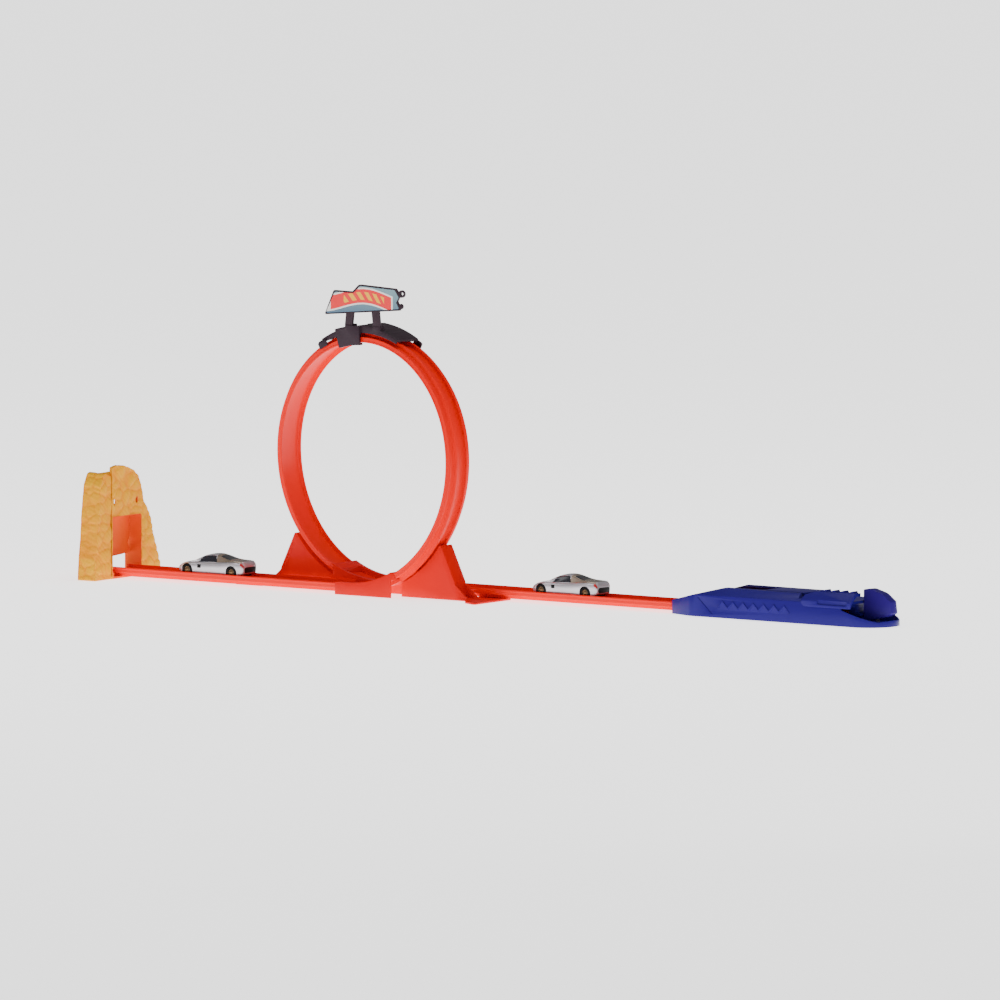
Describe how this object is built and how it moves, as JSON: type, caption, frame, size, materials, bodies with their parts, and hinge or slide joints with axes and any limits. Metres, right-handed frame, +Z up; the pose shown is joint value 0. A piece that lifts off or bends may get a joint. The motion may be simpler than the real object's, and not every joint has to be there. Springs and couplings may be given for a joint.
{
  "type": "toy car loop track set",
  "caption": "Toy car track: banded launcher, straight tracks, vertical loop on a base, top clip with sign, rock gate with swinging flap, and rolling die-cast cars.",
  "frame": {"origin": "on the ground under the middle of the loop, at the middle of the base's underside", "axes": "+X along the track towards the launcher, +Y across the track away from the sign's printed face, +Z up"},
  "size_m": [1.0376, 0.1422, 0.3429],
  "materials": {
    "orange_track": "flexible glossy plastic",
    "red_base": "semi-gloss moulded plastic",
    "charcoal_clip": "satin moulded plastic",
    "printed_label": "glossy printed label",
    "yellow_rock": "textured moulded plastic",
    "amber_flap": "textured moulded plastic",
    "blue_launcher": "semi-gloss moulded plastic",
    "violet_lever": "semi-gloss moulded plastic",
    "elastic": "matt rubber",
    "steel": "plain",
    "silver_body": "metallic paint",
    "dark_glazing": "dark tinted clear plastic",
    "black_chassis": "moulded plastic",
    "black_wheel": "hard plastic with metallic rim"
  },
  "bodies": {
    "track_set": {"base_core": "red_base", "elastic_far": "elastic", "elastic_near": "elastic", "gate_flap_pin": "steel", "gate_foot": "yellow_rock", "gate_main_shell": "yellow_rock", "gate_near_shell": "yellow_rock", "launcher_base": "blue_launcher", "launcher_cover": "blue_launcher", "launcher_lane": "orange_track", "launcher_screw_1": "steel", "launcher_screw_2": "steel", "launcher_screw_3": "steel", "launcher_screw_4": "steel", "loop_strand_down": "orange_track", "loop_strand_up": "orange_track", "sign_label": "printed_label", "sign_plate": "charcoal_clip", "support_gate_side": "red_base", "support_launcher_side": "red_base", "tongue_base_gate_side": "red_base", "tongue_base_launcher_side": "red_base", "tongue_gate": "red_base", "tongue_launcher": "red_base", "tongue_loop_top": "red_base", "tongue_strand_down": "red_base", "tongue_strand_up": "red_base", "top_clip": "charcoal_clip", "track_gate_side": "orange_track", "track_launcher_side": "orange_track", "trigger_pin": "steel", "trigger_spring": "steel"},
    "slider": {"slider_handle": "blue_launcher", "slider_carriage": "blue_launcher"},
    "trigger": {"trigger_lever": "violet_lever"},
    "flap": {"gate_flap": "amber_flap"},
    "car_gate_body": {"car_gate_shell": "silver_body", "car_gate_glass": "dark_glazing", "car_gate_chassis": "black_chassis"},
    "car_gate_front_wheels": {"car_gate_front_axle": "steel", "car_gate_front_wheel_near": "black_wheel", "car_gate_front_wheel_far": "black_wheel"},
    "car_gate_rear_wheels": {"car_gate_rear_axle": "steel", "car_gate_rear_wheel_near": "black_wheel", "car_gate_rear_wheel_far": "black_wheel"},
    "car_launch_body": {"car_launch_shell": "silver_body", "car_launch_glass": "dark_glazing", "car_launch_chassis": "black_chassis"},
    "car_launch_front_wheels": {"car_launch_front_axle": "steel", "car_launch_front_wheel_near": "black_wheel", "car_launch_front_wheel_far": "black_wheel"},
    "car_launch_rear_wheels": {"car_launch_rear_axle": "steel", "car_launch_rear_wheel_near": "black_wheel", "car_launch_rear_wheel_far": "black_wheel"}
  },
  "joints": [
    {"name": "handle_slide", "type": "slide", "parent": "track_set", "child": "slider", "axis": [-1, 0, 0], "range_m": [0, 0.105], "deforming": ["elastic_near", "elastic_far"]},
    {"name": "trigger_press", "type": "hinge", "parent": "track_set", "child": "trigger", "pos_m": [0.64, 0.0222, 0.006], "axis": [0, 1, 0], "range_deg": [0, 4.5], "stiffness_Nm_per_rad": 0.5, "springref_deg": -3.44, "deforming": ["trigger_spring"]},
    {"name": "flap_swing", "type": "hinge", "parent": "track_set", "child": "flap", "pos_m": [-0.335, -0.0222, 0.074], "axis": [0, 1, 0], "range_deg": [0, 75]},
    {"name": "car_gate_roll", "type": "slide", "parent": "track_set", "child": "car_gate_body", "axis": [-1, 0, 0], "range_m": [-0.121, 0.069]},
    {"name": "car_gate_front_spin", "type": "hinge", "parent": "car_gate_body", "child": "car_gate_front_wheels", "pos_m": [-0.2275, -0.0222, 0.01485], "axis": [0, 1, 0], "continuous": true},
    {"name": "car_gate_rear_spin", "type": "hinge", "parent": "car_gate_body", "child": "car_gate_rear_wheels", "pos_m": [-0.1675, -0.0222, 0.01485], "axis": [0, 1, 0], "continuous": true},
    {"name": "car_launch_roll", "type": "slide", "parent": "track_set", "child": "car_launch_body", "axis": [-1, 0, 0], "range_m": [-0.233, 0.183]},
    {"name": "car_launch_front_spin", "type": "hinge", "parent": "car_launch_body", "child": "car_launch_front_wheels", "pos_m": [0.2235, 0.0222, 0.01485], "axis": [0, 1, 0], "continuous": true},
    {"name": "car_launch_rear_spin", "type": "hinge", "parent": "car_launch_body", "child": "car_launch_rear_wheels", "pos_m": [0.2835, 0.0222, 0.01485], "axis": [0, 1, 0], "continuous": true}
  ],
  "couplings": [
    {"joint": "car_gate_front_spin", "follows": "car_gate_roll", "rad_per_m": -156.25},
    {"joint": "car_gate_rear_spin", "follows": "car_gate_roll", "rad_per_m": -156.25},
    {"joint": "car_launch_front_spin", "follows": "car_launch_roll", "rad_per_m": -156.25},
    {"joint": "car_launch_rear_spin", "follows": "car_launch_roll", "rad_per_m": -156.25}
  ]
}
